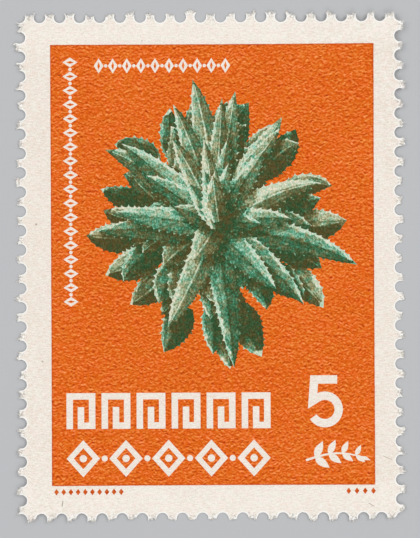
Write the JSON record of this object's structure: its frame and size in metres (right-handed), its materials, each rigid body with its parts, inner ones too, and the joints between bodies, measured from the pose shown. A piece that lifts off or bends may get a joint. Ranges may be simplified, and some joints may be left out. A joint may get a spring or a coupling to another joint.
{
  "type": "postage stamp",
  "caption": "Perforated postage stamp of gummed paper in upright format, printed with an orange panel, a green leaf motif and plain cream marks.",
  "frame": {"origin": "on the table under the middle of the sheet's box, at the level of the gummed back", "axes": "+X to the right of the upright picture, +Y to its top, +Z out of the printed face"},
  "size_m": [0.0336, 0.0442, 0.0005],
  "materials": {
    "paper": "smooth off-white stamp paper, printed in satin ink on the face and gummed on the back"
  },
  "bodies": {
    "root": {"stamp": "paper"}
  },
  "joints": []
}
